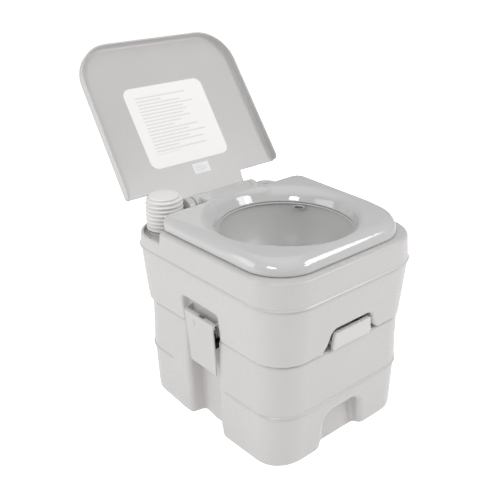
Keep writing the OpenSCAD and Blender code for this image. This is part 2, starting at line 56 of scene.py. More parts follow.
def rmin(a, b, r):
    """The part inside a or b, with a fillet of r between them."""
    return -rmax(-a, -b, r)


def cut(a, b, r):
    """a with b taken away, the new edge rounded to r."""
    return rmax(a, -b, r)


def plan(x, y, wr, wf, yr, yf, rr, rf):
    """A tapered plate in plan: half widths wr at the rear yr and wf at the front yf."""
    k = (wr - wf) / (yr - yf)
    q = (np.abs(x) - (wr - k * (yr - y))) / math.sqrt(1 + k * k)
    return np.maximum(rmax(q, yf - y, rf), rmax(q, y - yr, rr))


def body_plan(x, y):
    return plan(x, y, 179.0, 171.0, 200.0, -200.0, 74.0, 72.0)


def box3(x, y, z, lo, hi, r):
    dx = np.abs(x - (lo[0] + hi[0]) / 2) - (hi[0] - lo[0]) / 2
    dy = np.abs(y - (lo[1] + hi[1]) / 2) - (hi[1] - lo[1]) / 2
    dz = np.abs(z - (lo[2] + hi[2]) / 2) - (hi[2] - lo[2]) / 2
    return rmax(rmax(dx, dy, r), dz, r)


# ---------------------------------------------------------------- meshes


def make(name, verts, quads, normals=None, tris=None):
    """A mesh object from arrays in millimetres."""
    me = bpy.data.meshes.new(name)
    verts = np.asarray(verts, float) * 0.001
    quads = np.asarray(quads, np.int32).reshape(-1, 4)
    loops = quads.reshape(-1)
    starts = np.arange(len(quads), dtype=np.int32) * 4
    if tris is not None and len(tris):
        tris = np.asarray(tris, np.int32).reshape(-1, 3)
        starts = np.concatenate([starts, len(loops) + np.arange(len(tris), dtype=np.int32) * 3])
        loops = np.concatenate([loops, tris.reshape(-1)])
    me.vertices.add(len(verts))
    me.vertices.foreach_set("co", verts.astype(np.float32).reshape(-1))
    me.loops.add(len(loops))
    me.loops.foreach_set("vertex_index", loops.astype(np.int32))
    me.polygons.add(len(starts))
    me.polygons.foreach_set("loop_start", starts.astype(np.int32))
    me.polygons.foreach_set("use_smooth", np.ones(len(starts), bool))
    me.update(calc_edges=True)
    me.validate()
    if normals is not None:
        me.normals_split_custom_set_from_vertices(np.asarray(normals, float).tolist())
    ob = bpy.data.objects.new(name, me)
    scene.collection.objects.link(ob)
    return ob


def gradient(f, p, e=0.04):
    g = np.empty_like(p)
    for k in range(3):
        a, b = p.copy(), p.copy()
        a[:, k] -= e
        b[:, k] += e
        g[:, k] = (f(b[:, 0], b[:, 1], b[:, 2]) - f(a[:, 0], a[:, 1], a[:, 2])) / (2 * e)
    return g


def skin(name, f, lo, hi, h, pose=None, fine=()):
    """The surface where f is zero, as a mesh of quads whose points lie on it, with its true normals. fine lists height ranges with thinner layers."""
    ax = [lo[k] + h * np.arange(int(math.ceil((hi[k] - lo[k]) / h)) + 1) for k in range(3)]
    if fine:
        level = [lo[2]]
        while level[-1] < hi[2]:
            level.append(level[-1] + next((q for a, b, q in fine if a <= level[-1] < b), h))
        ax[2] = np.array(level)
    n = [len(k) for k in ax]
    v = f(ax[0][:, None, None], ax[1][None, :, None], ax[2][None, None, :])
    v = np.broadcast_to(v, n).astype(float)
    s = v < 0
    count = np.zeros([k - 1 for k in n], np.int8)
    for a in (0, 1):
        for b in (0, 1):
            for c in (0, 1):
                count += s[a : n[0] - 1 + a, b : n[1] - 1 + b, c : n[2] - 1 + c]
    cell = np.nonzero((count > 0) & (count < 8))
    index = np.full(count.shape, -1, np.int32)
    index[cell] = np.arange(len(cell[0]))
    at = np.stack(cell, 1)
    total, number = np.zeros((len(at), 3)), np.zeros(len(at))
    for axis in range(3):
        o1, o2 = [k for k in range(3) if k != axis]
        for b in (0, 1):
            for c in (0, 1):
                off = np.zeros(3, int)
                off[o1], off[o2] = b, c
                end = off.copy()
                end[axis] = 1
                fa = v[at[:, 0] + off[0], at[:, 1] + off[1], at[:, 2] + off[2]]
                fb = v[at[:, 0] + end[0], at[:, 1] + end[1], at[:, 2] + end[2]]
                m = (fa < 0) != (fb < 0)
                t = np.where(m, fa / np.where(m, fa - fb, 1.0), 0.0)
                point = np.tile(off.astype(float), (len(at), 1))
                point[:, axis] += t
                total += point * m[:, None]
                number += m
    part = total / number[:, None]
    p = np.stack([ax[k][at[:, k]] + part[:, k] * (ax[k][at[:, k] + 1] - ax[k][at[:, k]]) for k in range(3)], 1)
    for _ in range(4):
        g = gradient(f, p)
        step = -f(p[:, 0], p[:, 1], p[:, 2])[:, None] * g / np.maximum((g * g).sum(1), 0.2)[:, None]
        size = np.linalg.norm(step, axis=1)
        p += step * np.minimum(1.0, 0.5 * h / np.maximum(size, 1e-9))[:, None]
    normal = gradient(f, p)
    normal /= np.maximum(np.linalg.norm(normal, axis=1), 1e-9)[:, None]
    faces = []
    for axis in range(3):
        o1, o2 = (axis + 1) % 3, (axis + 2) % 3
        sl0, sl1 = [slice(None)] * 3, [slice(None)] * 3
        sl0[axis], sl1[axis] = slice(0, n[axis] - 1), slice(1, n[axis])
        for sl in (sl0, sl1):
            sl[o1], sl[o2] = slice(1, n[o1] - 1), slice(1, n[o2] - 1)
        inside, outside = s[tuple(sl0)], s[tuple(sl1)]
        for flip in (False, True):
            where = np.stack(np.nonzero((outside & ~inside) if flip else (inside & ~outside)), 1)
            if not len(where):
                continue
            where[:, o1] += 1
            where[:, o2] += 1
            ring = []
            for b, c in ((-1, -1), (0, -1), (0, 0), (-1, 0)):
                q = where.copy()
                q[:, o1] += b
                q[:, o2] += c
                ring.append(index[q[:, 0], q[:, 1], q[:, 2]])
            ring = np.stack(ring[::-1] if flip else ring, 1)
            faces.append(ring)
    faces = np.concatenate(faces)
    if pose is not None:
        p, normal = pose(p), pose(normal, turn_only=True)
    return make(name, p, faces, normal)


def lathe(name, profile, segments=96, centre=(0, 0, 0), shape=None, axis="z"):
    """A closed profile of (radius, height) turned round an axis. shape(angle, radius, height) may give another radius."""
    prof = np.asarray(profile, float)
    a = np.linspace(0, 2 * math.pi, segments, endpoint=False)
    r = np.repeat(prof[:, 0][:, None], segments, 1)
    zz = np.repeat(prof[:, 1][:, None], segments, 1)
    aa = np.repeat(a[None, :], len(prof), 0)
    if shape is not None:
        r = shape(aa, r, zz)
    x, y = r * np.cos(aa), r * np.sin(aa)
    if axis == "z":
        p = np.stack([x, y, zz], 2)
    else:
        p = np.stack([-x, zz, y], 2)
    p = p.reshape(-1, 3) + np.array(centre, float)
    m, k = len(prof), segments
    i = np.arange(m)[:, None]
    j = np.arange(k)[None, :]
    i2, j2 = (i + 1) % m, (j + 1) % k
    q = np.stack([i * k + j, i * k + j2, i2 * k + j2, i2 * k + j], 2).reshape(-1, 4)
    return make(name, p, q)


def rounded(points, radii, steps=5):
    """A closed outline with its corners rounded."""
    out = []
    pts = [np.array(q, float) for q in points]
    for n, q in enumerate(pts):
        r = radii[n] if isinstance(radii, (list, tuple)) else radii
        a, b = pts[n - 1] - q, pts[(n + 1) % len(pts)] - q
        la, lb = np.linalg.norm(a), np.linalg.norm(b)
        if r <= 0 or la < 1e-9 or lb < 1e-9:
            out.append(q)
            continue
        a, b = a / la, b / lb
        angle = math.acos(max(-1.0, min(1.0, float(a @ b))))
        t = min(r / max(math.tan(angle / 2), 1e-6), 0.45 * la, 0.45 * lb)
        start, stop = q + a * t, q + b * t
        for w in np.linspace(0, 1, steps + 1):
            out.append((1 - w) ** 2 * start + 2 * w * (1 - w) * q + w ** 2 * stop)
    return out


def smooth_by_angle(ob, degrees):
    ob.data.polygons.foreach_set("use_smooth", np.ones(len(ob.data.polygons), bool))
    ob.data.set_sharp_from_angle(angle=math.radians(degrees))


# ---------------------------------------------------------------- materials


def plastic(name, colour, rough, spread=0.05, grain=0.0, grain_scale=1400.0, vary=0.02, specular=0.5, coat=0.0, metallic=0.0, cloud=9.0):
    m = bpy.data.materials.new(name)
    m.use_nodes = True
    t = m.node_tree
    b = t.nodes["Principled BSDF"]
    b.inputs["Metallic"].default_value = metallic
    b.inputs["Specular IOR Level"].default_value = specular
    b.inputs["Coat Weight"].default_value = coat
    b.inputs["Coat Roughness"].default_value = 0.06
    where = t.nodes.new("ShaderNodeTexCoord")
    big = t.nodes.new("ShaderNodeTexNoise")
    big.inputs["Scale"].default_value = cloud
    big.inputs["Detail"].default_value = 4.0
    t.links.new(where.outputs["Object"], big.inputs["Vector"])
    ramp = t.nodes.new("ShaderNodeValToRGB")
    ramp.color_ramp.elements[0].position, ramp.color_ramp.elements[1].position = 0.3, 0.7
    ramp.color_ramp.elements[0].color = [c * (1 - vary) for c in colour] + [1]
    ramp.color_ramp.elements[1].color = [min(1.0, c * (1 + vary)) for c in colour] + [1]
    t.links.new(big.outputs["Fac"], ramp.inputs["Fac"])
    t.links.new(ramp.outputs["Color"], b.inputs["Base Color"])
    fine = t.nodes.new("ShaderNodeTexNoise")
    fine.inputs["Scale"].default_value = grain_scale / 4
    fine.inputs["Detail"].default_value = 3.0
    t.links.new(where.outputs["Object"], fine.inputs["Vector"])
    rr = t.nodes.new("ShaderNodeMapRange")
    rr.inputs["From Min"].default_value, rr.inputs["From Max"].default_value = 0.3, 0.7
    rr.inputs["To Min"].default_value, rr.inputs["To Max"].default_value = rough - spread, rough + spread
    t.links.new(fine.outputs["Fac"], rr.inputs["Value"])
    t.links.new(rr.outputs["Result"], b.inputs["Roughness"])
    if grain > 0:
        g = t.nodes.new("ShaderNodeTexNoise")
        g.inputs["Scale"].default_value = grain_scale
        g.inputs["Detail"].default_value = 2.0
        t.links.new(where.outputs["Object"], g.inputs["Vector"])
        bump = t.nodes.new("ShaderNodeBump")
        bump.inputs["Strength"].default_value = grain
        bump.inputs["Distance"].default_value = 0.0004
        t.links.new(g.outputs["Fac"], bump.inputs["Height"])
        t.links.new(bump.outputs["Normal"], b.inputs["Normal"])
    return m


def film(name, colour, bars, long_side, band):
    """White printed film: soft grey bars of different lengths stand in for printing, and carry no letters."""
    m = plastic(name, colour, 0.42, 0.06, 0.0, vary=0.008)
    t = m.node_tree
    b = t.nodes["Principled BSDF"]
    base = b.inputs["Base Color"].links[0].from_socket
    where = t.nodes.new("ShaderNodeUVMap")
    where.uv_map = "film"
    part = t.nodes.new("ShaderNodeSeparateXYZ")
    t.links.new(where.outputs["UV"], part.inputs["Vector"])

    def math_node(op, a, c=None):
        n = t.nodes.new("ShaderNodeMath")
        n.operation = op
        for k, q in enumerate((a, c)):
            if q is None:
                continue
            if isinstance(q, (int, float)):
                n.inputs[k].default_value = q
            else:
                t.links.new(q, n.inputs[k])
        return n.outputs[0]

    u, v = part.outputs["X"], part.outputs["Y"]
    rows = math_node("MULTIPLY", v, float(bars))
    in_row = math_node("LESS_THAN", math_node("FRACT", rows), 0.42)
    row = math_node("FLOOR", rows)
    length = t.nodes.new("ShaderNodeTexWhiteNoise")
    length.noise_dimensions = "1D"
    t.links.new(row, length.inputs["W"])
    stop = math_node("ADD", math_node("MULTIPLY", length.outputs["Value"], band), long_side)
    here = math_node("MULTIPLY", in_row, math_node("LESS_THAN", u, stop))
    here = math_node("MULTIPLY", here, math_node("GREATER_THAN", u, 0.12))
    here = math_node("MULTIPLY", here, math_node("GREATER_THAN", v, 0.12))
    here = math_node("MULTIPLY", here, math_node("LESS_THAN", v, 0.84))
    mix = t.nodes.new("ShaderNodeMix")
    mix.data_type = "RGBA"
    t.links.new(here, mix.inputs["Factor"])
    t.links.new(base, mix.inputs["A"])
    mix.inputs["B"].default_value = [c * 0.82 for c in colour] + [1]
    t.links.new(mix.outputs["Result"], b.inputs["Base Color"])
    return m


tank_mat = plastic("tank_plastic", (0.615, 0.600, 0.593), 0.25, 0.04, 0.06, 2200.0, 0.012, 0.45)
seat_mat = plastic("seat_plastic", (0.600, 0.606, 0.600), 0.06, 0.015, 0.0, 900.0, 0.010, 0.5, coat=0.5)
bowl_mat = plastic("bowl_plastic", (0.572, 0.572, 0.564), 0.34, 0.04, 0.0, 900.0, 0.012, 0.5)
bellows_mat = plastic("bellows_plastic", (0.850, 0.835, 0.825), 0.48, 0.06, 0.15, 1800.0, 0.02, 0.4)
white_mat = plastic("white_plastic", (0.69, 0.676, 0.67), 0.30, 0.05, 0.05, 1800.0, 0.01, 0.5)
flap_mat = plastic("flap_plastic", (0.60, 0.587, 0.58), 0.34, 0.05, 0.08, 1800.0, 0.012, 0.5)
rubber_mat = plastic("rubber", (0.020, 0.020, 0.022), 0.70, 0.08, 0.25, 1500.0, 0.15, 0.3)
steel_mat = plastic("steel", (0.60, 0.60, 0.62), 0.26, 0.08, 0.06, 1200.0, 0.06, 0.5, metallic=1.0, cloud=60.0)
# The latch wire's metal colour is darkened to paint in the dark reflection of its surroundings: a painted dark
# reflection, not the metal's own colour.
wire_painted_dark_mat = plastic("wire_painted_dark_reflection", (0.12, 0.12, 0.125), 0.28, 0.06, 0.05, 1200.0, 0.08, 0.5, metallic=1.0, cloud=60.0)
# Near-black finish for the latch catches: painted shade, standing for the shadowed gap and hollow beside the latch
# flaps.
catch_painted_shade_mat = plastic("catch_painted_shade", (0.045, 0.045, 0.047), 0.45, 0.06, 0.05, 1500.0, 0.08, 0.4)
label_mat = film("label_film", (0.985, 0.970, 0.965), 24, 0.42, 0.42)
sticker_mat = film("sticker_film", (0.90, 0.90, 0.91), 5, 0.55, 0.3)


def finish_piece(ob, mat, body, slot, *replaced):
    ob.data.materials.clear()
    ob.data.materials.append(mat)
    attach(ob, body)
    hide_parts(*replaced)
    return ob


# ---------------------------------------------------------------- waste tank

CY = -4.5
LOW_Z = np.array([-20.0, 0.0, 12.0, 50.0, 92.0, 97.5, 99.4, 100.7, 102.0, 104.2, 108.0, 150.0, 192.0, 215.0])
LOW_I = np.array([17.2, 16.6, 16.0, 14.5, 13.2, 13.4, 14.0, 10.2, 10.1, 12.1, 11.8, 13.2, 13.5, 14.0])
LOW_PLAIN = np.array([17.2, 16.6, 16.0, 14.5, 13.2, 12.9, 12.8, 12.7, 12.6, 12.5, 12.3, 13.2, 13.5, 14.0])


def f_waste(x, y, z):
    ax = np.abs(x)
    belt = np.clip(np.maximum(np.maximum((y - 86.0) / 6.0, (-54.0 - y) / 6.0), 126.0 - ax), 0, 1)
    d = body_plan(x, y) + belt * np.interp(z, LOW_Z, LOW_I) + (1 - belt) * np.interp(z, LOW_Z, LOW_PLAIN)
    foot = 4.0 + 8.0 * np.clip((y - 70.0) / 50.0, 0, 1) + 6.0 * np.clip((-y - 0.6 * ax - 70.0) / 45.0, 0, 1)
    d = rmax(d, -z, foot)
    d = rmax(d, z - 197.6, 6.0)
    # side channels, rounder at their rear edge
    deep = np.interp(z, [0, 118, 134], [135, 135, 131])
    side = np.maximum(y - 37.4 - 0.214 * (ax - 135.0), -y - 36.5 - 0.214 * (ax - 135.0)) * 0.978
    edge = np.interp(y, [5, 30], [2.0, 8.0]) + 7.0 * np.clip((25.0 - z) / 25.0, 0, 1) * np.clip((-25.0 - y) / 10.0, 0, 1)
    d = cut(d, rmax(deep - ax, side, 2.5), edge)
    # hand hold under the front
    hold = np.abs(x + 6.0) - np.interp(z, [0, 22, 59, 72], [51, 45, 42, 33])
    hold = rmax(rmax(hold, z - 70.0, 8.0), y + 166.0 - 0.1 * z, 6.0)
    d = cut(d, hold, np.interp(y, [-184, -170], [13.0, 3.0]))
    spout = rmax(rmax(np.abs(x - 80.0) - 48.0, np.abs(z - 146.0) - 38.0, 9.0), 142.0 - y, 5.0)
    d = cut(d, spout, 4.0)
    mouth = rmax(np.hypot(x, y + 31.0) - 52.0, 14.0 - z, 8.0)
    return cut(d, mouth, 1.0)


waste = skin("waste_tank_shell", f_waste, (-173, -194, -4), (173, 194, 202), 2.75, None, ((96.4, 105.4, 0.45),))
finish_piece(waste, tank_mat, "waste", "tank_plastic", "waste_tank")

# ---------------------------------------------------------------- fresh-water tank

UP_Z = np.array([185.0, 204.2, 238.2, 290.0, 298.5, 302.0, 303.3, 304.5, 306.7, 310.0, 337.0, 349.0, 365.0])
UP_I = np.array([11.4, 10.2, 6.8, 2.6, 2.2, 2.9, -0.8, -0.9, 1.1, 1.2, 3.7, 4.7, 6.2])
BOWL_Z = np.array([180.0, 215.4, 228.0, 242.0, 262.0, 292.0, 322.0, 348.6, 370.0])
BOWL_A = np.array([47.0, 47.0, 48.0, 62.0, 84.0, 106.0, 117.0, 122.0, 124.0])
BOWL_B = np.array([47.0, 47.0, 48.0, 66.0, 88.0, 109.5, 120.5, 125.5, 127.5])


def f_fresh(x, y, z):
    flat = plan(x, y, 179.0, 171.0, 200.0, -200.0, 67.0, 72.0)
    d = flat + np.interp(z, UP_Z, UP_I)
    d = rmax(d, 198.2 - z, 4.0)
    d = rmax(d, z - 349.0, 5.5)
    ax = np.abs(x)
    # rear shelf inside a rim, and the step of the deck, which carries on as a low block in the middle
    shelf = rmax(100.0 - y, 328.0 - z, 3.0)
    pocket = rmax(rmax(100.0 - y, 320.0 - z, 4.0), flat + 8.0, 4.0)
    well = rmax(np.hypot(x + 120.5, y - 157.0) - 34.7, 320.0 - z, 2.0)
    block = rmax(rmax(ax - 84.0, y - 125.0, 5.0), z - 346.0, 5.0)
    d = cut(d, np.maximum(np.minimum(np.minimum(shelf, pocket), well), -block), 3.0)
    # bowl
    a, b = np.interp(z, BOWL_Z, BOWL_A) + 0.5, np.interp(z, BOWL_Z, BOWL_B) + 0.5
    e = (np.sqrt((x / a) ** 2 + ((y + 31.0) / b) ** 2) - 1) * np.minimum(a, b) * 0.9
    d = cut(d, e, 0.8)
    # valve space and handle notch
    valve = rmax(np.maximum(ax - 87.0, np.abs(y + 52.5) - 107.5), z - 215.6, 3.0)
    d = cut(d, valve, 1.5)
    notch = ax - np.interp(z, [190, 198, 204, 211, 221, 240], [74, 66, 60, 54, 49.5, 46.5])
    notch = rmax(rmax(notch, z - 236.5, 11.0), y + 150.0, 5.0)
    d = cut(d, notch, 6.0)
    # latch recesses
    side = np.maximum(y - 42.0 - 0.333 * (ax - 155.0), -y - 49.0 - 0.04 * (ax - 155.0)) * 0.949
    top = (z - 244.0 - np.clip((ax - 155.0) * 0.444, 0, 12)) * 0.914
    return cut(d, rmax(rmax(155.0 - ax, side, 3.0), top, 5.0), np.interp(y, [-30, 20], [1.6, 4.0]))


fresh = skin("fresh_tank_shell", f_fresh, (-184, -205, 194), (184, 205, 353), 2.65, None, ((300.0, 308.0, 0.4),))
finish_piece(fresh, tank_mat, "fresh", "tank_plastic", "fresh_tank")


# ---------------------------------------------------------------- bowl

def curve(xs, ys, at):
    """A smooth curve through points, without overshoot."""
    xs, ys, at = np.asarray(xs, float), np.asarray(ys, float), np.asarray(at, float)
    h, d = np.diff(xs), np.diff(ys) / np.diff(xs)
    m = np.zeros(len(xs))
    m[0], m[-1] = d[0], d[-1]
    for k in range(1, len(xs) - 1):
        if d[k - 1] * d[k] > 0:
            w1, w2 = 2 * h[k] + h[k - 1], h[k] + 2 * h[k - 1]
            m[k] = (w1 + w2) / (w1 / d[k - 1] + w2 / d[k])
    k = np.clip(np.searchsorted(xs, at) - 1, 0, len(h) - 1)
    t = (at - xs[k]) / h[k]
    return (2 * t ** 3 - 3 * t ** 2 + 1) * ys[k] + (t ** 3 - 2 * t ** 2 + t) * h[k] * m[k] + (-2 * t ** 3 + 3 * t ** 2) * ys[k + 1] + (t ** 3 - t ** 2) * h[k] * m[k + 1]


def make_bowl():
    zs = np.concatenate([np.linspace(215.4, 228, 6), np.linspace(230, 347, 48)])
    a, b = curve(BOWL_Z, BOWL_A, zs), curve(BOWL_Z, BOWL_B, zs)
    rows = [(z, p - 3.0, q - 3.0) for z, p, q in zip(zs, a, b)]
    rows += [(347.5, 117.6, 121.1), (348.2, 115.3, 118.8), (349.0, 114.5, 118.0), (349.8, 114.8, 118.3), (350.4, 115.9, 119.4), (350.6, 117.6, 121.1), (350.6, 126.0, 129.5), (350.3, 126.8, 130.3), (349.6, 127.0, 130.5), (349.1, 126.8, 130.3), (349.1, 122.3, 125.8)]
    rows += [(z, p - 0.2, q - 0.2) for z, p, q in zip(zs[::-1], a[::-1], b[::-1])]
    n = 160
    t = np.linspace(0, 2 * math.pi, n, endpoint=False)
    p = np.array([[[q[1] * math.cos(w), -31.0 + q[2] * math.sin(w), q[0]] for w in t] for q in rows])
    m = len(rows)
    i, j = np.arange(m)[:, None], np.arange(n)[None, :]
    i2, j2 = (i + 1) % m, (j + 1) % n
    faces = np.stack([i * n + j, i2 * n + j, i2 * n + j2, i * n + j2], 2).reshape(-1, 4)
    return make("bowl_shell", p.reshape(-1, 3), faces)


bowl = make_bowl()
finish_piece(bowl, bowl_mat, "fresh", "seat_plastic", "bowl")

# ---------------------------------------------------------------- seat

BUMPS = [(-128.0, -120.0), (128.0, -120.0), (-142.0, 84.0), (142.0, 84.0)]


def oval(x, y, a=116.0, b=119.5):
    k = np.sqrt((x / a) ** 2 + ((y + 31.0) / b) ** 2)
    g = np.sqrt((x / a ** 2) ** 2 + ((y + 31.0) / b ** 2) ** 2)
    return (k - 1) * k / np.maximum(g, 1e-4)


def f_seat(x, y, z):
    ax = np.abs(x)
    edge = plan(x, y, 164.0, 156.0, 111.5, -181.5, 22.0, 72.0)
    ring = np.clip(oval(x, y), -30, 90)
    crown = 0.8 * np.clip((-edge - 6.0) / 30.0, 0, 1)
    roll = 7.0 + 9.0 * np.clip((-(y + 31.0) / 150.0 - x / 164.0 + 0.6) / 1.2, 0, 1)
    d = rmax(edge, z - (374.6 + crown), roll)
    slope = (edge + z - 374.6) * 0.7071 + 9.0 * np.clip((-(y + 31.0) / 150.0 - 0.3) / 0.5, 0, 1)
    d = rmax(d, slope, 7.0)
    # tongue back to the hinge, level with the seat and hollow over the bracket, and two barrels
    out = np.hypot(y - 149.0, z - 353.5)
    tongue = np.minimum(np.maximum(z - 374.9 + 0.07 * np.maximum(y - 92.0, 0), np.maximum(80.0 - y, y - 149.0)), out - 17.5)
    tongue = rmax(tongue, ax - 57.0 - 0.35 * np.maximum(112.0 - y, 0), 5.0)
    d = rmin(d, tongue, 8.0)
    # funnel down to the opening, with a small step at its foot
    funnel = np.maximum((ring - 0.2 - np.interp(y, [-110, -30], [0.25, 0.56]) * (z - 352.0)) * 0.872, 350.0 - z)
    d = cut(d, funnel, np.interp(y, [-110, 20], [7.0, 15.0]))
    d = cut(d, ring, 1.5)
    d = rmax(d, 351.5 - 1.6 * np.clip((edge + 12.0) / 6.0, 0, 1) - z, 1.2)
    # hollow underside with posts and ribs
    hollow = rmax(rmax(edge + 9.0, 24.0 - ring, 4.0), z - 360.0, 2.5)
    for px, py in BUMPS:
        hollow = np.maximum(hollow, 10.0 - np.hypot(x - px, y - py))
    ribs = np.minimum(np.abs(ax - 60.0), np.minimum(np.abs(y + 31.0), ax + 0 * y)) - 1.6
    hollow = np.maximum(hollow, -ribs)
    d = cut(d, hollow, 1.0)
    barrel = rmax(out - 18.0, np.abs(ax - 51.2) - 14.8, 2.0)
    d = rmin(d, barrel, 1.5)
    # room for the bracket ears, all the way up, and the bore of the rod
    ears = np.minimum(np.minimum(out - 10.4, 0.4226 * (z - 353.5) - 0.9063 * (y - 149.0)), np.maximum(z - 352.0, 119.0 - y))
    d = cut(d, np.maximum(np.maximum(ears, ax - 36.4), 112.0 - y), 0.8)
    return np.maximum(d, 3.3 - out)


seat = skin("seat_ring", f_seat, (-168, -185, 332), (168, 171, 379), 1.7)
finish_piece(seat, seat_mat, "seat", "seat_plastic", "seat")

# ---------------------------------------------------------------- lid

TURN = math.radians(-125.5)
HY, HZ = 149.0, 353.5


def open_lid(p, turn_only=False):
    q = p.copy()
    dy, dz = (p[:, 1], p[:, 2]) if turn_only else (p[:, 1] - HY, p[:, 2] - HZ)
    q[:, 1] = dy * math.cos(TURN) - dz * math.sin(TURN) + (0 if turn_only else HY)
    q[:, 2] = dy * math.sin(TURN) + dz * math.cos(TURN) + (0 if turn_only else HZ)
    return q


def f_lid(x, y, z):
    ax = np.abs(x)
    out = plan(x, y, 175.7, 169.5, 104.5, -186.5, 6.0, 68.0)
    d = rmax(out, z - 381.0, 5.0)
    d = rmax(d, 362.0 - z, 1.4)
    d = np.maximum(d, rmax(362.0 - z, y - 104.5, 13.0))
    k = 6.2 / 291.0
    q = (ax - (172.7 - k * (104.5 - y))) / math.sqrt(1 + k * k)
    hollow = rmax(rmax(q, -183.5 - y, 65.0), z - 377.5, 4.5)
    d = cut(d, hollow, 1.3)
    # tongue back to the hinge, and its two arms
    wide = ax - (87.0 - 5.4 * np.clip((y - 104.5) / 44.5, 0, 1))
    tongue = rmax(rmax(np.abs(z - 379.25) - 1.75, np.maximum(96.0 - y, y - 149.0), 1.4), wide, 3.0)
    d = np.minimum(d, tongue)
    out = np.hypot(y - HY, z - HZ)
    arm = rmin(out - 16.8, np.maximum(np.abs(y - 142.0) - 8.0, np.abs(z - 366.0) - 14.0), 4.0)
    arm = rmax(arm, np.abs(ax - 74.2) - 7.4, 2.0)
    return np.maximum(rmin(d, arm, 2.0), -np.maximum(out - 3.3, ax - 78.8))


lid = skin("lid_panel", f_lid, (-179, -190, 334), (179, 168, 384), 1.8, open_lid)
finish_piece(lid, tank_mat, "lid", "tank_plastic", "lid", "lid_lip")


def film_piece(name, x0, x1, y0, y1, r, z0, z1):
    """A thin film with rounded corners on the inside of the lid, with its own flat map."""
    pts = []
    for cx, cy, a0 in ((x1 - r, y1 - r, 0), (x0 + r, y1 - r, 90), (x0 + r, y0 + r, 180), (x1 - r, y0 + r, 270)):
        for w in np.linspace(0, 90, 9):
            pts.append((cx + r * math.cos(math.radians(a0 + w)), cy + r * math.sin(math.radians(a0 + w))))
    pts = np.array(pts)
    n = len(pts)
    low = np.column_stack([pts, np.full(n, z0)])
    high = np.column_stack([pts, np.full(n, z1)])
    mid = np.array([[(x0 + x1) / 2, (y0 + y1) / 2, z0], [(x0 + x1) / 2, (y0 + y1) / 2, z1]])
    v = np.concatenate([low, high, mid])
    i = np.arange(n)
    j = (i + 1) % n
    quads = np.stack([i, j, j + n, i + n], 1)
    tris = np.concatenate([np.stack([j, i, np.full(n, 2 * n)], 1), np.stack([i + n, j + n, np.full(n, 2 * n + 1)], 1)])
    ob = make(name, open_lid(v), quads, None, tris)
    uv = ob.data.uv_layers.new(name="film")
    flat = np.empty(len(ob.data.loops), np.int32)
    ob.data.loops.foreach_get("vertex_index", flat)
    u = np.column_stack([(v[flat, 0] - x0) / (x1 - x0), (v[flat, 1] - y0) / (y1 - y0)])
    uv.data.foreach_set("uv", u.astype(np.float32).reshape(-1))
    ob.data.polygons.foreach_set("use_smooth", np.zeros(len(ob.data.polygons), bool))
    return ob


label = film_piece("lid_label_film", -99.0, 78.2, -98.5, 61.8, 16, 377.2, 377.5)
finish_piece(label, label_mat, "lid", "label_film", "lid_label")
sticker = film_piece("lid_sticker_film", -16, 21, 68.7, 89.1, 1.5, 377.2, 377.5)
finish_piece(sticker, sticker_mat, "lid", "label_film", "lid_sticker")

# ---------------------------------------------------------------- pump

PUMP = (-120.5, 157.0, 0.0)


def bellows_profile():
    out = []
    fold = 59.0 / 8
    for n in range(8):
        big = 33.5 if n < 7 else 31.9
        z = 324.0 + n * fold
        out += [(25.6, z + 0.2), (26.6, z + 0.9), (big - 1.3, z + 2.9), (big - 0.4, z + 3.5), (big, z + 4.2), (big, z + 4.9), (big - 0.4, z + 5.5), (big - 1.3, z + 5.9), (26.6, z + 6.7), (25.6, z + 7.15)]
    out += [(23.5, 383.0), (20.5, 383.0), (20.5, 324.0)]
    return out


bellows = lathe("pump_bellows_folds", bellows_profile(), 112, PUMP)
smooth_by_angle(bellows, 40)
finish_piece(bellows, bellows_mat, "fresh", "bellows_plastic", "pump_bellows")
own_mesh(bellows)

cap_profile = rounded([(0.01, 383.4), (25.6, 383.4), (26.6, 384.4), (26.6, 386.1), (25.2, 387.3), (0.01, 388.0)], [0, 0.6, 0.8, 0.8, 1.5, 0])
pump_cap = lathe("pump_top_plate", cap_profile, 96, PUMP)
smooth_by_angle(pump_cap, 32)
finish_piece(pump_cap, bellows_mat, "pump_top", "bellows_plastic", "pump_cap")

base_profile = rounded([(18.0, 318.0), (21.5, 318.0), (21.5, 320.0), (33.0, 320.0), (33.0, 324.0), (18.0, 324.0)], [0, 0, 0, 0.4, 1.6, 0.5])
pump_base = lathe("pump_collar", base_profile, 96, PUMP)
smooth_by_angle(pump_base, 32)
finish_piece(pump_base, tank_mat, "fresh", "tank_plastic", "pump_base")

# ---------------------------------------------------------------- filler cap and spout cap


def fluted(count, depth, low, high, least):
    def shape(a, r, z):
        on = np.clip((z - low) / 2.0, 0, 1) * np.clip((high - z) / 2.0, 0, 1) * (r > least)
        wave = np.clip(np.cos(a * count) * 1.6, -1, 1) * 0.5 + 0.5
        return r - depth * on * (1 - wave)
    return shape


filler_profile = rounded([(22.6, 324.7), (27.2, 324.7), (28.0, 326.6), (28.0, 342.6), (26.6, 345.4), (22.5, 349.2), (12.0, 351.4), (0.01, 351.6), (0.01, 343.0), (22.6, 343.0)], [0.5, 0.8, 0.8, 1.6, 2.5, 4, 5, 0, 0, 1], 6)
filler_profile = [q for k, q in enumerate(filler_profile)]
dense = []
for k, q in enumerate(filler_profile):
    nxt = filler_profile[(k + 1) % len(filler_profile)]
    steps = 8 if np.linalg.norm(np.array(nxt) - np.array(q)) > 12 and q[0] > 26 else 1
    dense += [tuple(np.array(q) + (np.array(nxt) - np.array(q)) * w / steps) for w in range(steps)]
filler = lathe("filler_cap_ribbed", dense, 216, (120.5, 157.0, 0.0), fluted(18, 1.5, 326.2, 344.0, 26.0))
finish_piece(filler, tank_mat, "filler_cap", "tank_plastic", "filler_cap")


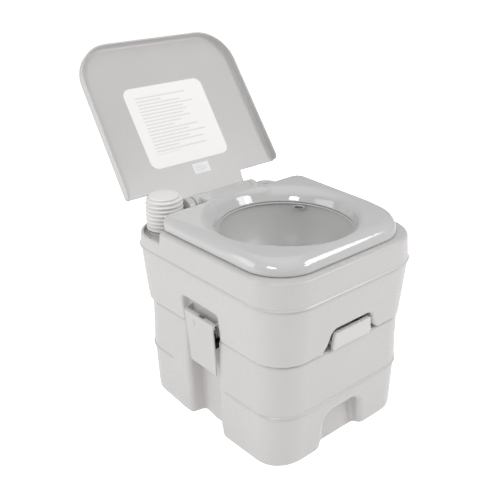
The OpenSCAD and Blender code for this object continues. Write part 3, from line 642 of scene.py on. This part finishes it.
def f_spout_cap(x, y, z):
    dx, dz = x - 80.0, z - 146.0
    r, a = np.hypot(dx, dz), np.arctan2(dz, dx)
    rib = 1.9 * (np.clip(np.cos(a * 12) * 1.8, -1, 1) * 0.5 - 0.5) * np.clip((y - 146.5) / 2.0, 0, 1)
    d = rmax(rmax(r - 31.9 - rib, y - 179.4, 3.0), 145.5 - y, 0.8)
    d = cut(d, np.maximum(r - 26.0, y - 174.4), 0.8)
    grip = box3(x, y, z, (56, 174, 141), (104, 187.3, 151), 3.0)
    return rmin(d, grip, 3.0)


spout_cap = skin("spout_cap_ribbed", f_spout_cap, (46, 143, 112), (114, 190, 180), 1.0)
finish_piece(spout_cap, tank_mat, "spout_cap", "tank_plastic", "spout_cap")

# ---------------------------------------------------------------- pull handle


def f_handle(x, y, z):
    ax = np.abs(x)
    # face plate, narrower at the top, its edges bevelled, on a foot set back under it
    face = rmax(rmax(ax - (46.0 - 4.0 * np.clip((z - 203.0) / 27.4, 0, 1)), z - 230.4, 3.0), 203.2 - z, 1.5)
    plate = rmax(face, np.maximum(-195.0 + 2.0 * np.clip((ax - 40.0) / 5.0, 0, 1) - y, y + 187.0), 1.2)
    lip = rmax(rmax(rmax(ax - 43.5, np.abs(y + 189.5) - 3.5, 1.5), z - 206.0, 1.5), 198.8 - z, 1.0)
    d = rmin(plate, lip, 1.5)
    foot = box3(x, y, z, (-36, -189, 198.8), (36, -170, 208.0), 1.0)
    return rmin(d, foot, 1.5)


handle = skin("valve_pull_handle", f_handle, (-49, -198, 196), (49, -167, 233), 0.9)
finish_piece(handle, white_mat, "valve", "white_plastic", "valve_handle")

# ---------------------------------------------------------------- latches


def flap_side(sign):
    def f_flap(x, y, z):
        x = x * -sign
        u = y - CY
        t = (218.0 - z) / 88.0
        face = -172.6 + 5.8 * np.clip(t, -0.12, 1.1)
        slab = np.maximum(face - x, x - face - 3.2) * 0.998
        d = rmax(slab, np.abs(u) - (38.5 - np.where(u > 0, 4.0, 2.4) * np.clip(t, 0, 1)), 1.0)
        d = rmax(rmax(d, 128.6 - z, 1.0), z - 229.0, 1.0)
        knuckle = rmax(np.hypot(x + 168.0, z - 226.0) - 4.6, np.abs(u) - 38.5, 0.8)
        d = rmin(d, knuckle, 2.5)
        nose = box3(x, u, z, (-167.2, -16, 160), (-160.5, 16, 166), 1.0)
        d = rmin(d, nose, 1.5)
        # the pin shows in a gap in the middle of the knuckle
        gap = box3(x, u, z, (-170.6, -11.0, 223.4), (-150.0, 3.0, 240.0), 0.6)
        d = cut(d, gap, 0.6)
        # small slot pressed in under the knuckle
        slot = rmax(rmax(np.abs(u - 13.0) - 1.5, np.abs(z - 213.5) - 6.0, 1.4), x - face - 1.3, 0.5)
        return np.maximum(cut(d, slot, 0.8), 1.9 - np.hypot(x + 168.0, z - 226.0))
    return f_flap


def lug_side(sign):
    def f_lug(x, y, z):
        x = x * -sign
        u = np.abs(y - CY)
        out = np.hypot(x + 168.0, z - 226.0)
        bar = np.abs(z - np.interp(x, [-168, -155], [226, 227])) - np.interp(x, [-168, -155], [4.4, 8])
        d = np.minimum(out - 4.4, np.maximum(np.maximum(bar, -168.0 - x), x + 154.6))
        return np.maximum(rmax(d, np.abs(u - 39.8) - 0.9, 0.4), 2.05 - out)
    return f_lug


for sign, side in ((-1, "left"), (1, "right")):
    lo, hi = ((-176, -46, 125), (-157, 37, 234)) if sign < 0 else ((157, -46, 125), (176, 37, 234))
    f = flap_side(1 if sign < 0 else -1)
    g = (lambda fn: (lambda x, y, z: fn(-x, y, z)))(f)
    flap = skin("latch_flap_skin_" + side, g if sign < 0 else g, lo, hi, 1.0)
    finish_piece(flap, flap_mat, "latch_" + side, "white_plastic", "latch_flap_" + side)
    fl = lug_side(1 if sign < 0 else -1)
    gl = (lambda fn: (lambda x, y, z: fn(-x, y, z)))(fl)
    lo, hi = ((-174, -47, 217), (-153, 38, 237)) if sign < 0 else ((153, -47, 217), (174, 38, 237))
    lugs = skin("latch_lug_plates_" + side, gl, lo, hi, 0.6)
    finish_piece(lugs, tank_mat, "fresh", "tank_plastic", "latch_lugs_" + side)
    # pin with one end bent down over the flap's front corner
    path = [(sign * 168.0, 36.6, 226.0), (sign * 168.0, -44.4, 226.0)]
    for w in np.linspace(0, 90, 8):
        c, s = math.cos(math.radians(w)), math.sin(math.radians(w))
        path.append((sign * 168.0, -44.4 - 2.8 * s, 223.2 + 2.8 * c))
    path += [(sign * 168.0, -47.2, 208.0)]
    path = np.array(path)
    tangent = np.gradient(path, axis=0)
    tangent /= np.linalg.norm(tangent, axis=1)[:, None]
    first = np.tile(np.array([1.0, 0.0, 0.0]), (len(path), 1))
    second = np.cross(tangent, first)
    k = 20
    t = np.linspace(0, 2 * math.pi, k, endpoint=False)
    ring = path[:, None, :] + 1.6 * (np.cos(t)[None, :, None] * first[:, None, :] + np.sin(t)[None, :, None] * second[:, None, :])
    m = len(path)
    v = np.concatenate([ring.reshape(-1, 3), path[:1], path[-1:]])
    i, j = np.arange(m - 1)[:, None], np.arange(k)[None, :]
    j2 = (j + 1) % k
    quads = np.stack([i * k + j, i * k + j2, (i + 1) * k + j2, (i + 1) * k + j], 2).reshape(-1, 4)
    jj = np.arange(k)
    tris = np.concatenate([np.stack([(jj + 1) % k, jj, np.full(k, m * k)], 1), np.stack([(m - 1) * k + jj, (m - 1) * k + (jj + 1) % k, np.full(k, m * k + 1)], 1)])
    pin = make("latch_wire_" + side, v, quads, None, tris)
    # the wire gets the darkened metal, a painted dark reflection
    finish_piece(pin, wire_painted_dark_mat, "latch_" + side, "steel", "latch_pin_" + side)

# ---------------------------------------------------------------- the other CAD nodes, with their finishes

kept = {
    tank_mat: ["valve_base", "valve_cover", "spout_neck", "valve_blade", "hinge_bracket", "filler_neck"],
    bowl_mat: ["flush_nozzle"],
    # the latch catches are painted near-black as shade
    catch_painted_shade_mat: ["latch_catch_left", "latch_catch_right"],
    white_mat: ["flush_tube", "suction_tube"],
    rubber_mat: ["blade_seal", "bowl_gasket", "spout_gasket", "filler_gasket", "seat_bumpers"],
    steel_mat: ["valve_screws", "handle_screws", "hinge_screws", "hinge_rod"],
}
for mat, names in kept.items():
    for name in names:
        ob = nodes[name]
        ob.data.materials.clear()
        ob.data.materials.append(mat)
        smooth_by_angle(ob, 32)

# ---------------------------------------------------------------- floor, light and camera

me = bpy.data.meshes.new("floor")
me.from_pydata([(-30, -30, 0), (30, -30, 0), (30, 30, 0), (-30, 30, 0)], [], [(0, 1, 2, 3)])
floor = bpy.data.objects.new("floor", me)
scene.collection.objects.link(floor)
floor_mat = bpy.data.materials.new("floor_paper")
floor_mat.use_nodes = True
fb = floor_mat.node_tree.nodes["Principled BSDF"]
fb.inputs["Base Color"].default_value = (0.94, 0.94, 0.94, 1)
fb.inputs["Roughness"].default_value = 0.9
fb.inputs["Specular IOR Level"].default_value = 0.1
fb.inputs["Emission Color"].default_value = (1, 1, 1, 1)
# the paper is white to the eye, and gives less light than it shows
seen = floor_mat.node_tree.nodes.new("ShaderNodeLightPath")
shown = floor_mat.node_tree.nodes.new("ShaderNodeMapRange")
shown.inputs["To Min"].default_value, shown.inputs["To Max"].default_value = 0.30, 0.72
floor_mat.node_tree.links.new(seen.outputs["Is Camera Ray"], shown.inputs["Value"])
floor_mat.node_tree.links.new(shown.outputs["Result"], fb.inputs["Emission Strength"])
floor.data.materials.append(floor_mat)

world = bpy.data.worlds.new("studio")
world.use_nodes = True
wt = world.node_tree
wb = wt.nodes["Background"]
wb.inputs["Color"].default_value = (1, 1, 1, 1)
wb.inputs["Strength"].default_value = 0.40
paper = wt.nodes.new("ShaderNodeBackground")
paper.inputs["Color"].default_value = (1, 1, 1, 1)
paper.inputs["Strength"].default_value = 1.0
path = wt.nodes.new("ShaderNodeLightPath")
both = wt.nodes.new("ShaderNodeMixShader")
wt.links.new(path.outputs["Is Camera Ray"], both.inputs["Fac"])
wt.links.new(wb.outputs["Background"], both.inputs[1])
wt.links.new(paper.outputs["Background"], both.inputs[2])
wt.links.new(both.outputs["Shader"], wt.nodes["World Output"].inputs["Surface"])
scene.world = world


def softbox(name, place, target, w, h, power, shape="RECTANGLE"):
    data = bpy.data.lights.new(name, "AREA")
    data.shape = shape
    data.size, data.size_y = w, h
    data.energy = power
    ob = bpy.data.objects.new(name, data)
    scene.collection.objects.link(ob)
    d = np.array(target, float) - np.array(place, float)
    from mathutils import Vector
    ob.location = place
    ob.rotation_mode = "QUATERNION"
    ob.rotation_quaternion = Vector(d).to_track_quat("-Z", "Y")
    return ob


softbox("left", (-2.3, 1.05, 1.1), (0, 0, 0.25), 1.4, 1.8, 19.5)
softbox("right_key", (1.14, -1.38, 1.62), (0, 0, 0.36), 1.0, 0.8, 12.5, "ELLIPSE")
softbox("left_key", (-1.34, -0.78, 1.56), (0, 0, 0.36), 0.5, 0.36, 5, "ELLIPSE")
softbox("front_key", (0.71, -1.52, 1.32), (0, 0, 0.36), 0.42, 0.26, 2.0, "ELLIPSE")
softbox("top", (0.1, 0.2, 2.4), (0, 0, 0.3), 2.2, 2.2, 8)
softbox("over", (-0.2, -1.2, 2.6), (0, 0, 0.3), 1.6, 1.6, 3)

cam_data = bpy.data.cameras.new("camera")
cam = bpy.data.objects.new("camera", cam_data)
scene.collection.objects.link(cam)
az, el, roll = math.radians(-41.96), math.radians(23.89), math.radians(0.20)
back = np.array([math.sin(az) * math.cos(el), -math.cos(az) * math.cos(el), math.sin(el)])
right = np.array([math.cos(az), math.sin(az), 0.0])
up = np.cross(back, right)
right, up = right * math.cos(roll) + up * math.sin(roll), up * math.cos(roll) - right * math.sin(roll)
from mathutils import Matrix
m = Matrix.Identity(4)
for r in range(3):
    m[r][0], m[r][1], m[r][2] = right[r], up[r], back[r]
m[0][3], m[1][3], m[2][3] = -0.80763, -0.89169, 0.86089
cam.matrix_world = m
cam_data.sensor_width = 36.0
cam_data.lens = 36.0 * 752.17 / 500
cam_data.shift_x, cam_data.shift_y = -21.58 / 500, -15.99 / 500
cam_data.clip_start, cam_data.clip_end = 0.05, 100
scene.camera = cam

scene.view_settings.view_transform = "Standard"
scene.view_settings.look = "None"
scene.view_settings.exposure = 0.0
scene.view_settings.gamma = 1.0
